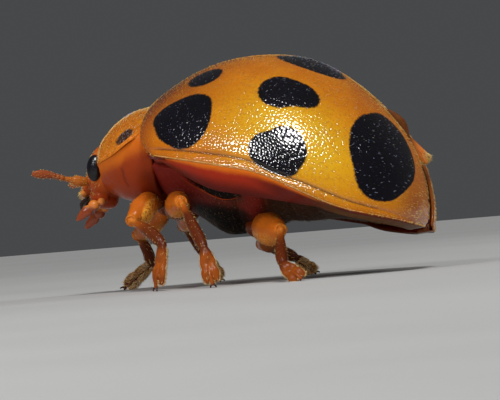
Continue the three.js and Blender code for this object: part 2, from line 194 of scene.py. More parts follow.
def mesh_of(name, verts, faces, **values):
    me = bpy.data.meshes.new(name)
    loops = np.concatenate([f.ravel() for f in faces]).astype(np.int32)
    sides = np.concatenate([np.full(len(f), f.shape[1]) for f in faces])
    me.vertices.add(len(verts))
    me.vertices.foreach_set("co", np.asarray(verts, np.float32).ravel())
    me.loops.add(len(loops))
    me.loops.foreach_set("vertex_index", loops)
    me.polygons.add(len(sides))
    me.polygons.foreach_set("loop_start", (np.cumsum(sides) - sides).astype(np.int32))
    me.polygons.foreach_set("use_smooth", np.ones(len(sides), bool))
    me.update(calc_edges=True)
    for key, value in values.items():
        attribute = me.attributes.new(key, "FLOAT", "POINT")
        attribute.data.foreach_set("value", np.asarray(value, np.float32).ravel())
    return me


def linked(name, data):
    obj = bpy.data.objects.new(name, data)
    bpy.context.scene.collection.objects.link(obj)
    return obj


def piece(name, built, material, slot, *nodes, frame_of=stood, **values):
    """One object of the model, from places and faces, with values at its places."""
    verts, faces = built
    obj = linked(name, mesh_of(name, frame_of(verts), faces, **values))
    obj.data.materials.append(material)
    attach(obj, "root")
    if nodes:
        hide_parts(*nodes)
    return obj


def grid_quads(n, m, base=0, ring=0, hoop=0):
    """Faces of a grid of n rows and m columns. With ring 1 its rows close, with hoop 1 its columns too."""
    i = np.pad(np.arange(n * m).reshape(n, m), ((0, hoop), (0, ring)), "wrap") + base
    return np.stack([i[:-1, :-1], i[1:, :-1], i[1:, 1:], i[:-1, 1:]], -1).reshape(-1, 4)


def slab_of(outer, inner):
    """A closed slab between two sheets of the same grid."""
    n, m, _ = outer.shape
    i = np.arange(n * m).reshape(n, m)
    edge = np.concatenate([i[0, :-1], i[:-1, -1], i[-1, :0:-1], i[:0:-1, 0]])
    after = np.roll(edge, -1)
    rim = np.stack([edge, after, after + n * m, edge + n * m], -1)
    faces = [grid_quads(n, m), grid_quads(n, m, n * m)[:, ::-1], rim]
    verts = np.concatenate([outer.reshape(-1, 3), inner.reshape(-1, 3)])
    return verts, turned_out(verts, faces)


def normals_of(grid):
    along, across = np.gradient(grid, axis=0), np.gradient(grid, axis=1)
    return unit(np.cross(along, across))


def loft(rings):
    """A closed tube through rings of points, its ends closed at the rings' middles."""
    n, m, _ = rings.shape
    verts = np.concatenate([rings.reshape(-1, 3), rings[0].mean(0)[None], rings[-1].mean(0)[None]])
    k = np.arange(m)
    nose = np.stack([np.full(m, n * m), k, (k + 1) % m], -1)
    tail = np.stack([np.full(m, n * m + 1), (k + 1) % m + (n - 1) * m, k + (n - 1) * m], -1)
    return verts, turned_out(verts, [grid_quads(n, m, ring=1), nose[:, ::-1], tail[:, ::-1]])


def egg(at, size, slope=0.0, square=0.0, rings=40, around=48):
    """An ellipsoid, boxier where square > 0, its front tipped down by slope."""
    t, a = eased(rings, 0.02)[:, None], circle(around)[None]
    x, r = 2 * t - 1 + 0 * a, 2 * np.sqrt(t * (1 - t))
    p = np.stack([x, r * np.cos(a), r * np.sin(a)], -1)
    p *= 1 + square * (1 - np.abs(p).max(-1, keepdims=True))
    p *= size
    c, s = math.cos(slope), math.sin(slope)
    p = np.stack([c * p[..., 0] - s * p[..., 2], p[..., 1], s * p[..., 0] + c * p[..., 2]], -1)
    return loft(p + at)


def path_of(points, t):
    """A smooth path through points, one column of t in steps of the points."""
    p = np.asarray(points, float)
    knots = np.concatenate([[0], np.cumsum(np.linalg.norm(np.diff(p, axis=0), axis=1))])
    knots /= knots[-1]
    slope = np.gradient(p, knots, axis=0)
    k = np.clip(np.searchsorted(knots, t, "right") - 1, 0, len(p) - 2)
    h = (knots[k + 1] - knots[k])[:, None]
    s = ((t - knots[k]) / (knots[k + 1] - knots[k]))[:, None]
    return ((2 * s**3 - 3 * s**2 + 1) * p[k] + (s**3 - 2 * s**2 + s) * h * slope[k]
            + (3 * s**2 - 2 * s**3) * p[k + 1] + (s**3 - s**2) * h * slope[k + 1])


def limb(points, side, width, depth, rings=30, around=22, blunt=0.5):
    """A rounded limb on a path: width along the side direction, depth across it, each (t, size) pairs."""
    t, a = eased(rings, 0.06), circle(around)
    centre = path_of(points, t)
    tangent = unit(np.gradient(centre, axis=0))
    side = np.asarray(side, float)
    wide = unit(side - tangent * (tangent @ side)[:, None])
    deep = np.cross(tangent, wide)
    shut = (2 * np.sqrt(t * (1 - t))) ** blunt
    w = (stops(t, *width) * shut)[:, None, None]
    d = (stops(t, *depth) * shut)[:, None, None]
    ring = wide[:, None] * np.cos(a)[:, None] * w + deep[:, None] * np.sin(a)[:, None] * d
    return loft(centre[:, None] + ring)


def fused(parts, voxel, rounds=4):
    """Closed meshes joined into one skin. Returns its vertices and faces."""
    verts, faces, base = [], [], 0
    for v, fs in parts:
        verts.append(v)
        faces += [f + base for f in fs]
        base += len(v)
    obj = linked("fuse", mesh_of("fuse", np.concatenate(verts), faces))
    remesh = obj.modifiers.new("remesh", "REMESH")
    remesh.mode = "VOXEL"
    remesh.voxel_size = voxel
    relax = obj.modifiers.new("relax", "SMOOTH")
    relax.iterations = rounds
    made = obj.evaluated_get(bpy.context.evaluated_depsgraph_get()).to_mesh()
    co = np.zeros(len(made.vertices) * 3, np.float32)
    made.vertices.foreach_get("co", co)
    index = np.zeros(len(made.loops), np.int32)
    made.loops.foreach_get("vertex_index", index)
    sides = np.zeros(len(made.polygons), np.int32)
    made.polygons.foreach_get("loop_total", sides)
    starts = np.cumsum(sides) - sides
    out = [index[starts[sides == k][:, None] + np.arange(k)] for k in np.unique(sides)]
    bpy.data.objects.remove(obj)
    return co.reshape(-1, 3).astype(float), out


def sown(verts, faces, per_mm2, keep=None):
    """Places on a mesh, spread evenly, and the normals there."""
    tris = np.concatenate([f[:, [0, k, k + 1]] for f in faces for k in range(1, f.shape[1] - 1)])
    a, b, c = (verts[tris[:, k]] for k in range(3))
    cross = np.cross(b - a, c - a)
    area = np.linalg.norm(cross, axis=1) / 2
    pick = rng.choice(len(tris), int(area.sum() * per_mm2), p=area / area.sum())
    r1, r2 = np.sqrt(rng.random((len(pick), 1))), rng.random((len(pick), 1))
    at = a[pick] * (1 - r1) + b[pick] * r1 * (1 - r2) + c[pick] * r1 * r2
    normal = unit(cross[pick])
    if keep is not None:
        kept = rng.random(len(at)) < keep(at, normal)
        at, normal = at[kept], normal[kept]
    return at, normal


def hairs(name, at, normal, lie, length, width, uv, material, slot, lift=0.5, droop=0.25, pale=0.6,
          **values):
    """Solid pointed hairs on a skin, leaning along the lie. Places are in metres, sizes in millimetres."""
    n = len(at)
    lie = np.broadcast_to(lie, (n, 3))
    lie = unit(lie - normal * np.einsum("ij,ij->i", lie, normal)[:, None] + 1e-9)
    lie = unit(lie + np.cross(normal, lie) * rng.normal(0, 0.22, (n, 1)))
    side = np.cross(normal, lie)
    size = np.broadcast_to(length, n)[:, None] * rng.uniform(0.7, 1.25, (n, 1)) * MM
    thick = width * rng.uniform(0.75, 1.2, (n, 1)) * MM
    rise = lift * rng.uniform(0.6, 1.4, (n, 1))
    middle = at + size * 0.5 * unit(lie + normal * rise)
    tip = middle + size * 0.5 * unit(lie + normal * (rise * droop))
    root = at - normal * thick
    middle[:, 2], tip[:, 2] = np.maximum(middle[:, 2], thick[:, 0]), np.maximum(tip[:, 2], 0)
    spokes = [side * math.cos(a) + normal * math.sin(a) for a in (0.5, 2.6, 4.7)]
    low_ring, mid_ring = ([at + reach * spoke for spoke in spokes]
                          for at, reach in ((root, thick), (middle, 0.75 * thick)))
    verts = np.stack([*low_ring, *mid_ring, tip], 1).reshape(-1, 3)
    verts[:, 2] = np.maximum(verts[:, 2], 0)
    base = (np.arange(n) * 7)[:, None]
    quads = np.concatenate([base + np.array([k, (k + 1) % 3, (k + 1) % 3 + 3, k + 3]) for k in range(3)])
    tris = np.concatenate([base + np.array([3 + k, 3 + (k + 1) % 3, 6]) for k in range(3)]
                          + [base + np.array([2, 1, 0])])
    # A share of the hairs is pale: partly their own colour, partly painted glints.
    values = {"spot": np.full(n, 9.0), "pale": (rng.random(n) < pale) + 0.0, **values}
    faces = turned_out(verts - verts.mean(0), [quads, tris])
    obj = piece(name, (verts, faces), material, slot, frame_of=np.asarray,
                **{key: np.repeat(value, 7) for key, value in values.items()})
    patch = HAIR_PATCH * np.array([(0, 0), (1 / 3, 0), (0, 1 / 3), (.5, .5), (1, .5), (.5, 1), (1, 1)])
    spread = (np.clip(uv, 0, 0.996)[:, None] + patch).reshape(-1, 2)
    layer = obj.data.uv_layers.new(name="OFBake")
    index = np.zeros(len(obj.data.loops), np.int32)
    obj.data.loops.foreach_get("vertex_index", index)
    layer.data.foreach_set("uv", spread[index].astype(np.float32).ravel())


def body_hairs(name, at, normal, lie, *settings, **values):
    """Hairs whose places and directions are in the body frame."""
    hairs(name, stood(at), normal @ TURN.T, np.asarray(lie) @ TURN.T, *settings, **values)


# --- Materials ---


class Look:
    """A Principled material with short calls for its pattern nodes."""

    def __init__(self, name, **settings):
        self.material = bpy.data.materials.new(name)
        self.material.use_nodes = True
        self.tree = self.material.node_tree
        self.shader = self.tree.nodes["Principled BSDF"]
        self.place = self.node("ShaderNodeTexCoord").outputs["Object"]
        for key, value in settings.items():
            self.shader.inputs[key.replace("_", " ")].default_value = value

    def node(self, kind, **inputs):
        made = self.tree.nodes.new(kind)
        for key, value in inputs.items():
            self.feed(made.inputs[key], value)
        return made

    def feed(self, socket, value):
        if isinstance(value, bpy.types.NodeSocket):
            self.tree.links.new(value, socket)
        else:
            socket.default_value = value

    def value(self, name):
        made = self.tree.nodes.new("ShaderNodeAttribute")
        made.attribute_name = name
        return made.outputs["Fac"]

    def noise(self, scale, detail=3.0):
        """Noise from 0 to 1, its scale in waves per millimetre."""
        made = self.node("ShaderNodeTexNoise", Vector=self.place, Scale=scale / MM, Detail=detail,
                         Roughness=0.55)
        return made.outputs["Fac"]

    def grain(self, scale, start=0.0, end=1.0, detail=3.0):
        """Soft blotches that go from start to end."""
        return self.ramp(self.noise(scale, detail), 0.3, 0.7, start, end)

    def spots(self, scale, ragged, inside, outside, share=1.0):
        """The share within the marked spots, fading over their edge, which is ragged by a distance."""
        rag = self.ramp(self.noise(scale), 0.2, 0.8, -ragged, ragged)
        return self.ramp(self.math("ADD", self.value("spot"), rag), inside, outside, share, 0.0)

    def domes(self, size):
        """Small even domes over the laid-out surface, 1 at their tops, from the values along and across."""
        flat = self.node("ShaderNodeCombineXYZ", X=self.value("along"), Y=self.value("across"))
        cell = self.node("ShaderNodeTexVoronoi", Vector=flat.outputs[0], Scale=1 / size, Randomness=0.65)
        cell.voronoi_dimensions = "2D"
        far = self.math("POWER", cell.outputs["Distance"], 3.0)
        return self.math("SUBTRACT", 1.0, self.math("MULTIPLY", far, 3.2))

    def math(self, kind, a, b=0.0):
        made = self.tree.nodes.new("ShaderNodeMath")
        made.operation = kind
        self.feed(made.inputs[0], a)
        self.feed(made.inputs[1], b)
        return made.outputs[0]

    def ramp(self, value, low, high, start=0.0, end=1.0):
        made = self.tree.nodes.new("ShaderNodeMapRange")
        made.interpolation_type = "SMOOTHSTEP"
        for socket, given in zip(made.inputs, (value, low, high, start, end)):
            self.feed(socket, given)
        return made.outputs[0]

    def mix(self, share, a, b):
        made = self.tree.nodes.new("ShaderNodeMix")
        made.data_type = "RGBA"
        for socket, given in ((made.inputs[0], share), (made.inputs[6], a), (made.inputs[7], b)):
            self.feed(socket, given if isinstance(given, (bpy.types.NodeSocket, float)) else (*given, 1))
        return made.outputs[2]

    def painted(self, colour, *coats):
        """The colour under coats of (value's name, its share, paint)."""
        for name, share, paint in coats:
            colour = self.mix(self.math("MULTIPLY", self.value(name), share), colour, paint)
        return colour

    def bumps(self, *layers, soft=1.0):
        """Bump from (height socket, depth in millimetres) layers. The base takes a soft share of it."""
        for socket, share in (("Normal", soft), ("Coat Normal", 1.0)):
            normal = None
            for height, depth in layers:
                made = self.node("ShaderNodeBump", Height=height, Distance=depth * share * MM, Strength=1.0)
                if normal:
                    self.feed(made.inputs["Normal"], normal)
                normal = made.outputs["Normal"]
            self.feed(self.shader.inputs[socket], normal)

    def finish(self, colour, scale, shiny, dull, detail=3.0):
        """The material, its roughness in blotches from shiny to dull."""
        self.feed(self.shader.inputs["Base Color"], colour)
        self.feed(self.shader.inputs["Roughness"], self.grain(scale, shiny, dull, detail))
        return self.material


def translucent(weight, reach):
    radius = (1.0, 0.35, 0.1)
    return {"Subsurface_Weight": weight, "Subsurface_Scale": reach * MM, "Subsurface_Radius": radius}


def case_look():
    look = Look("wing_case", IOR=1.45, Specular_IOR_Level=0.05, Coat_Weight=1.0, Coat_Roughness=0.08,
                Coat_IOR=1.65, **translucent(0.2, 0.2))
    patches, domes = look.noise(1.1, 4.0), look.domes(DOME)
    orange = look.mix(look.ramp(patches, 0.35, 0.7), (0.5, 0.13, 0.003), (0.6, 0.185, 0.004))
    # A yellow pool of painted light round the main highlight.
    orange = look.painted(orange, ("painted_glow", 1.0, (0.8, 0.48, 0.008)), ("edge", 0.75, (0.36, 0.075, 0.005)),
                          # Darker towards the front of each case near the midline: painted shade.
                          ("dusk", 1.0, (0.14, 0.022, 0.003)))
    # Darker in the narrow hollows between the domes: painted shade.
    orange = look.mix(look.ramp(domes, 0.1, 0.6, 0.25, 0.0), orange, (0.42, 0.1, 0.004))
    # The groove value paints a dark line along the gutter: painted shade in the groove.
    # The tip value darkens the rear tip to brown, and also the right case's seam edge in the gap between the
    # cases, where it is painted shade.
    orange = look.painted(orange, ("tip", 1.0, (0.34, 0.08, 0.012)), ("groove", 0.8, (0.08, 0.02, 0.005)))
    black = look.mix(look.ramp(patches, 0.4, 0.7), (0.0015, 0.001, 0.003), (0.003, 0.002, 0.006))
    colour = look.mix(look.spots(16.0, 0.02, -0.03, 0.025), orange, black)
    look.bumps((look.noise(1.5, 1.0), 0.02), (domes, 0.005), soft=0.35)
    return look.finish(colour, 14.0, 0.4, 0.5, 2.0)


def shield_look():
    look = Look("shield", IOR=1.45, Specular_IOR_Level=0.12, Coat_Weight=0.4, Coat_Roughness=0.13,
                **translucent(0.2, 0.2))
    domes = look.domes(DOME)
    orange = look.mix(look.ramp(look.noise(2.0), 0.35, 0.7), (0.5, 0.13, 0.005), (0.62, 0.2, 0.008))
    orange = look.painted(orange, ("edge", 1.0, (0.68, 0.19, 0.012)))
    # Darker in the narrow hollows between the domes: painted shade.
    orange = look.mix(look.ramp(domes, 0.1, 0.6, 0.3, 0.0), orange, (0.36, 0.08, 0.006))
    colour = look.mix(look.spots(12.0, 0.04, -0.05, 0.03, 0.93), orange, (0.02, 0.012, 0.01))
    look.bumps((look.noise(2.0, 1.0), 0.03), (domes, 0.011), soft=0.6)
    return look.finish(colour, 9.0, 0.4, 0.54)


def flesh_look(name, light, deep, dark, rough=0.36, reach=0.2, pits=0.004, specks=30.0, gloss=0.2,
               gold=None, folded=False):
    """Smooth cuticle that goes from light to deep with the value tone, to dark with the value shade, and
    to any gold with the value gold, in raised folds where folded."""
    look = Look(name, IOR=1.45, Specular_IOR_Level=0.12, Coat_Weight=gloss, Coat_Roughness=0.14,
                **translucent(0.25, reach))
    tone = look.math("ADD", look.value("tone"), look.ramp(look.noise(2.2, 4.0), 0.25, 0.75, -0.12, 0.12))
    colour = look.painted(look.mix(look.ramp(tone, 0.0, 1.0), light, deep), ("shade", 1.0, dark))
    layers = [(look.noise(4.0), 0.02), (look.noise(specks), pits)]
    if folded:
        ridges = look.ramp(look.noise(15.0, 2.0), 0.36, 0.54, 0.1, 1.0)
        folds = look.math("MULTIPLY", look.value("gold"), ridges)
        colour = look.mix(folds, colour, gold)
        layers.append((folds, 0.025))
    elif gold:
        colour = look.painted(colour, ("gold", 1.0, gold))
    look.bumps(*layers)
    return look.finish(colour, 8.0, rough - 0.05, rough + 0.1)


def eye_look():
    look = Look("eye", IOR=1.5, Specular_IOR_Level=0.15, Coat_Weight=0.75, Coat_Roughness=0.08)
    colour = look.mix(look.grain(3.0), (0.002, 0.002, 0.003), (0.006, 0.005, 0.009))
    facets = look.node("ShaderNodeTexVoronoi", Vector=look.place, Scale=1 / (0.03 * MM))
    look.bumps((look.ramp(facets.outputs["Distance"], 0.1, 0.7, 1.0, 0.0), 0.002))
    return look.finish(colour, 6.0, 0.3, 0.4)


def plain_look(name, low, high, scales, depth, shiny, dull, **settings):
    """Blotches between two colours over a fine bump. The scales are of colour, bump and roughness."""
    look = Look(name, **settings)
    colour = look.mix(look.grain(scales[0]), low, high)
    look.bumps((look.noise(scales[1]), depth))
    return look.finish(colour, scales[2], shiny, dull)


def wing_look():
    """Brown membrane with veins along it, orange at the tip."""
    look = Look("hind_wing", IOR=1.45, Specular_IOR_Level=0.06, **translucent(0.3, 0.2))
    vein = look.math("ABSOLUTE", look.math("SINE", look.math("MULTIPLY", look.value("across"), 7.0)))
    colour = look.mix(look.grain(2.0), (0.12, 0.035, 0.007), (0.2, 0.065, 0.012))
    colour = look.painted(colour, ("tip", 1.0, (0.62, 0.18, 0.03)))
    colour = look.mix(look.ramp(vein, 0.0, 0.12, 0.35, 0.0), colour, (0.1, 0.028, 0.006))
    look.bumps((look.ramp(vein, 0.0, 0.2), 0.004), (look.noise(8.0), 0.01))
    return look.finish(colour, 9.0, 0.4, 0.55)


def hair_look():
    """Pale where the value pale is 1, else near the colour of the skin. The pale hairs are partly their own
    pale gold, partly painted glints, and bluish white over spots: a painted reflection.
    """
    look = Look("hair", IOR=1.5, Specular_IOR_Level=0.6, **translucent(0.3, 0.05))
    over = look.ramp(look.value("spot"), -0.02, 0.02, 1.0, 0.0)
    pale = look.mix(over, look.mix(look.grain(3.0), (0.85, 0.45, 0.1), (0.95, 0.66, 0.3)), (0.4, 0.42, 0.55))
    own = look.mix(over, (0.78, 0.3, 0.02), (0.02, 0.018, 0.03))
    colour = look.mix(look.value("pale"), own, pale)
    look.bumps((look.noise(60.0), 0.002))
    return look.finish(colour, 5.0, 0.25, 0.4)


def plain_hair_look(name, low, high):
    return plain_look(name, low, high, (4.0, 60.0, 5.0), 0.002, 0.35, 0.5, IOR=1.5, Specular_IOR_Level=0.4,
                      **translucent(0.3, 0.05))


CASE, SHIELD, EYE, WING, HAIR = case_look(), shield_look(), eye_look(), wing_look(), hair_look()
JAW = plain_look("jaw", (0.012, 0.005, 0.003), (0.05, 0.016, 0.008), (5.0, 16.0, 10.0), 0.006, 0.2, 0.35,
                 IOR=1.5, Specular_IOR_Level=0.2, Coat_Weight=0.4, Coat_Roughness=0.15)
SOLE = plain_hair_look("sole_hair", (0.78, 0.4, 0.15), (0.9, 0.6, 0.3))
DOWN = plain_hair_look("belly_hair", (0.1, 0.05, 0.025), (0.42, 0.24, 0.12))
UNDER = flesh_look("case_under", (0.95, 0.19, 0.006), (0.42, 0.025, 0.005), (0.06, 0.006, 0.004), 0.4,
                   gold=(0.13, 0.05, 0.012))
HEAD = flesh_look("head", (0.58, 0.13, 0.008), (0.31, 0.04, 0.006), (0.07, 0.007, 0.005), gloss=0.1)
TRUNK = flesh_look("belly", (0.2, 0.018, 0.012), (0.06, 0.022, 0.01), (0.005, 0.003, 0.002), 0.5, 0.15, 0.01,
                   22.0, 0.0)
LEG = flesh_look("leg", (0.5, 0.115, 0.008), (0.1, 0.018, 0.005), (0.08, 0.009, 0.005),
                 gold=(0.98, 0.45, 0.05), folded=True)
MOUTH = flesh_look("mouth", (0.6, 0.19, 0.03), (0.22, 0.04, 0.01), (0.08, 0.009, 0.005), 0.3, gloss=0.8)
FEELER = flesh_look("antenna", (0.42, 0.12, 0.015), (0.28, 0.06, 0.018), (0.08, 0.02, 0.01), 0.4, 0.12)


# --- Wing cases ---


def outline_at(u):
    """Half width of the wing cases at a share of their length, in shares of the widest."""
    front = lerp(0.72, 1, np.sqrt(np.maximum(1 - (1 - u / WIDEST) ** 2, 0)))
    rear = np.clip((u - WIDEST) / (1 - WIDEST), 0, 1)
    return np.where(u < WIDEST, front, lerp(0.07, 1, (1 - rear**2.585) ** (1 / 2.3)))


def crest_at(u):
    """Height of their midline over the rim, in shares of the highest."""
    front = lerp(0.419, 1, np.maximum(1 - np.abs(1 - u / CREST) ** 2.49, 0) ** (1 / 1.3))
    rear = np.clip((u - CREST) / (1 - CREST), 0, 1)
    return np.where(u < CREST, front, lerp(0.04, 1, (1 - rear**2.43) ** (1 / 1.7)))


def rim_at(u):
    """Height of the rim, which dips towards the rear."""
    return -0.575 * smooth(u, 0.443, 0.85)


def gutter_at(u):
    """The groove above the edge strip of a wing case, in shares from midline to rim."""
    return 0.868 + 0.024 * bump(u, 0.56, 0.1)


CREST_X, REAR_REACH = CREST * LENGTH, 3.9


def sink_x(x, depth):
    """Where a place behind the crest comes to lie when the dome is sunk by a depth."""
    return np.where(x < CREST_X, x, CREST_X + (x - CREST_X) * (1 - depth / REAR_REACH))


def roof_at(x, y, depth):
    """Height of the dome sunk by a depth, over a place in the body frame."""
    u = np.where(x < CREST_X, x, CREST_X + (x - CREST_X) / (1 - depth / REAR_REACH)) / LENGTH
    u = np.clip(u, 0, 1)
    out = np.abs(y) / (1 - depth / HALF_WIDTH) / (outline_at(u) * HALF_WIDTH)
    quarter = np.arcsin(np.minimum(out / FLANGE, 1) ** (1 / 1.1))
    return HEIGHT * crest_at(u) * np.cos(quarter) ** 1.09 * (1 - depth / HEIGHT) + rim_at(u)


def case_point(side, u, s, depth, fold):
    """A place on a wing case: u back along it, s out from the midline to the rim, fold from the rim to
    the inner edge of the strip folded under it."""
    q = np.minimum(s / FLANGE, 1) * math.pi / 2
    out = np.where(s < FLANGE, FLANGE * np.sin(q) ** 1.1, s)
    lip = 0.012 * bump(s, 0.935, 0.035) - 0.014 * bump(s, gutter_at(u), 0.011)
    out = out + (1 - fold) * smooth(u, 0.02, 0.1) * lip
    rise = np.where(s < FLANGE, np.maximum(np.cos(q), 0) ** 1.09, 0)
    sunk = depth + FOLD_IN * fold
    x = sink_x(u * LENGTH + 0.617 * (1 - u) ** 3 * s**2.5, sunk)
    notch = 0.02 + 0.24 * np.maximum(0, 1 - x / 0.5)
    y = out * outline_at(u) * HALF_WIDTH * (1 - sunk / HALF_WIDTH) + notch * (1 - out)
    drop = np.maximum(rim_at(u) + lerp(0.03, 0.6, smooth(u, 0, 0.37)), 0.13) * fold
    shoulder = np.maximum(0, 1 - u / 0.08) ** 1.5 * smooth(s, 0.7, 1)
    x = x + 0.16 * shoulder
    z = HEIGHT * crest_at(u) * rise * (1 - sunk / HEIGHT) + rim_at(u) - drop + 0.05 * shoulder
    c, n = math.cos(PARTING), math.sin(PARTING)
    return np.stack([x * c - y * n, side * (x * n + y * c), z], -1)


def spot_distance(x, y):
    """Rough distance to the nearest spot's edge, negative inside, over a laid-out wing case."""
    best = np.full(np.shape(x), 9.0)
    for spot in SPOTS:
        parts = [(np.hypot((x - cx) / a, (y - cy) / b) - 1) * min(a, b) for cx, cy, a, b in spot]
        soft = -0.06 * np.log(sum(np.exp(-np.clip(d, -2, 4) / 0.06) for d in parts))
        best = np.minimum(best, soft)
    return best


def case_values(side, u, s, fold):
    """What a wing case's paint follows."""
    x, y = u * LENGTH, s * GIRTH
    margin = np.maximum.reduce([bump(s, 0.0, 0.035), 0.6 * smooth(s, 0.9, 0.96), 1 - smooth(u, 0.01, 0.09)])
    tip = 0.8 * smooth(u, 0.93, 0.99) * smooth(s, 0.2, 0.6)
    # The right case's seam edge, seen in the gap behind the left case, painted darker: painted shade.
    seam_shade = smooth(u, 0.86, 0.93) * (1 - smooth(s, 0.06, 0.12)) * (side > 0)
    # A dark line along the gutter: painted shade in the groove.
    groove = bump(s, gutter_at(u), 0.006) * smooth(u, 0.04, 0.12) * (1 - smooth(u, 0.86, 0.93))
    rear_under_shade = smooth(u, 0.42, 0.6) * smooth(fold, 0.05, 0.35)
    return {
        "spot": spot_distance(x, y) * (1 + 2.5 * smooth(u, 0.88, 0.97)) + 2 * (fold > 0),
        "along": x, "across": y * outline_at(u),
        "edge": np.clip(margin, 0, 1),
        # Darker towards the front of each case near the midline: painted shade.
        "dusk": (1 - smooth(u, 0.0, 0.36)) * (1 - smooth(s, 0.35, 0.85)),
        # A yellow pool of painted light round the main highlight.
        "painted_glow": 0.9 * bump(x, 4.4, 1.9) * bump(y, 3.6, 1.15),
        # The folded strip under the rim goes deeper red and then dark inwards and towards the rear: painted
        # shade.
        "tone": smooth(fold, 0.0, 0.4),
        "shade": np.maximum(0.9 * smooth(fold, 0.3, 0.95), 0.8 * rear_under_shade),
        "gold": smooth(u, 0.66, 0.82),
        "tip": np.maximum(tip, seam_shade),
        "groove": groove * (fold == 0),
    }


def two_sided(values, rest=0.0, **under):
    """A slab's values: those of its outer sheet, and for the inner one what under says, or the rest."""
    return {k: np.concatenate([v.ravel(), np.full(v.size, under.get(k, rest))]) for k, v in values.items()}


def wing_case(name, side):
    """A shell with its edge folded under and its front edge tucked down."""
    rows, tucked, folded = 190, 6, 22
    tuck = np.linspace(1, 0, tucked + 1)[:-1]
    u = np.concatenate([np.zeros(tucked), eased(rows)])[:, None]
    depth = np.concatenate([0.4 * tuck, np.zeros(rows)])[:, None]
    inset = np.concatenate([0.05 * np.sin(tuck * math.pi / 2) ** 2, np.zeros(rows)])[:, None]
    s = np.concatenate([np.linspace(0, 1, 80) ** 0.9 * 0.84, np.linspace(0.84, 1, 40)[1:]])
    rim = len(s) - 1
    fold = np.concatenate([0 * s, np.linspace(0, 1, folded + 1)[1:]])
    u, s, fold = np.broadcast_arrays(u, np.append(s, np.ones(folded)), fold)
    outer = case_point(side, u, s, depth, fold)
    outer[..., 0] += inset
    for _ in range(2):
        outer[:, 1:-1] = (outer[:, :-2] + 2 * outer[:, 1:-1] + outer[:, 2:]) / 4
    inward = normals_of(outer)
    inward *= -np.sign(inward[rows // 2, rim // 3, 2])
    steps = np.linalg.norm(np.diff(outer, axis=1), axis=2)
    run = np.concatenate([np.zeros((len(u), 1)), np.cumsum(steps, 1)], 1)
    from_rim = np.abs(run - run[:, rim:rim + 1])
    to_edge = np.minimum(run, run[:, -1:] - run)
    thick = SHELL * (0.15 + 0.85 * smooth(from_rim, 0.0, 0.35)) * (0.55 + 0.45 * smooth(to_edge, 0, 0.1))
    verts, faces = slab_of(outer, outer + inward * thick[..., None])
    values = two_sided(case_values(side, u, s, fold), spot=9.0, tone=1.0, shade=0.8)
    obj = piece("wing_case_" + name, (verts, faces), CASE, "wing_case", "elytron_" + name, **values)
    obj.data.materials.append(UNDER)
    below = np.concatenate([fold.ravel() > 0, np.ones(fold.size, bool)])
    index = np.concatenate([below[f].all(1) for f in faces])
    obj.data.polygons.foreach_set("material_index", index.astype(np.int32))


def places(surface, u, v, du, dv, middle):
    """Places on a surface, its normals away from a middle, and the directions that u runs by du."""
    here, there, beside = surface(u, v), surface(u + du, v), surface(u, v + dv)
    normal = unit(np.cross(there - here, beside - here))
    normal *= np.sign(np.einsum("ij,ij->i", normal, here - middle))[:, None]
    return here, normal, there - here


def case_hairs(name, side, count, edge_count):
    """Fine hairs all over a wing case, and stouter ones along its edges."""
    u, s = rng.random(count * 3), rng.random(count * 3)
    ends = np.sin(np.minimum(u, 1 - u) * math.pi + 0.35).clip(0, 1)
    share = outline_at(u) * ends * np.where(spot_distance(u * LENGTH, s * GIRTH) < 0, 0.4, 1)
    keep = rng.random(count * 3) < share
    u, s = u[keep][:count], s[keep][:count] * 0.995
    where = rng.choice(4, edge_count, p=(0.38, 0.5, 0.04, 0.08))
    near = rng.random(edge_count)
    free = rng.random(edge_count)
    u = np.concatenate([u, np.choose(where, (free, free, 1 - 0.06 * near, 0.03 * near))])
    s = np.concatenate([s, np.choose(where, (0.99 - 0.09 * near, 0.03 * near**1.4, free, free)) * 0.995])
    at, normal, along = places(lambda a, b: case_point(side, a, np.abs(b), 0, 0), u, s, STEP, -STEP,
                               [CREST_X, 0, -1])
    edge = np.maximum.reduce([smooth(s, 0.9, 0.98), 1 - smooth(s, 0.0, 0.04), smooth(u, 0.96, 0.99)])
    spot = spot_distance(u * LENGTH, s * GIRTH)
    # More pale hairs along the edges: partly the hairs' own colour, partly painted glints.
    pale = np.maximum(np.where(spot < 0, 0.35, 0.2), 0.85 * edge)
    body_hairs("case_hairs_" + name, at, normal, along, 0.05 + 0.02 * edge, 0.0045 + 0.0045 * edge[:, None],
               np.stack([u, s], 1), HAIR, "wing_case", 0.8, 0.3, pale, spot=spot)


for name, side in SIDES.items():
    wing_case(name, side)
    case_hairs(name, side, 6500, 3600)

# --- Pronotum and scutellum ---


def shield_point(u, v, lower, corner=0.2):
    """A place on the pronotum: u from its hind to its front edge, v from -1 (left) to 1 (right)."""
    side = np.abs(v)
    half = lerp(2.0, 1.3, np.clip(u, 0, 1) ** 1.9) + 0.1 * np.sin(math.pi * np.clip(u, 0, 1))
    half = half * (1 - corner * np.maximum(0, 1 - u / 0.28) ** 1.6)
    down = lerp(0.33 * side**2.2, lerp(1.6, 1.86, side**3) - 0.12 * side**8, u)
    rise = 0.18 * np.sin(math.pi * np.clip(u, 0, 1)) * (1 - v * v) - lerp(0.8, 0.44, u) * side**2.3
    return np.stack([
        -0.1 - down * math.cos(SLOPE) - rise * math.sin(SLOPE),
        v * (half - 0.35 * lower * side**4),
        1.4 - down * math.sin(SLOPE) + rise * math.cos(SLOPE) - lower], -1)


def skirt(u, v):
    """How far the pronotum's sides are drawn down towards their edges."""
    return lerp(-0.05, 0.2, smooth(u, 0, 0.7)) * smooth(np.abs(v), 0.45, 1.05) ** 1.3


def shield_values(u, v):
    side = np.abs(v)
    spots = [(np.hypot((u - at) / long, (side - out) / wide) - 1) * 0.25
             for at, out, long, wide in SHIELD_SPOTS]
    edge = np.maximum(smooth(side, 0.88, 0.97), 1 - smooth(u, 0.0, 0.08))
    return {"spot": np.minimum.reduce(spots), "edge": edge, "along": u * 1.8, "across": v * lerp(2.0, 1.4, u)}


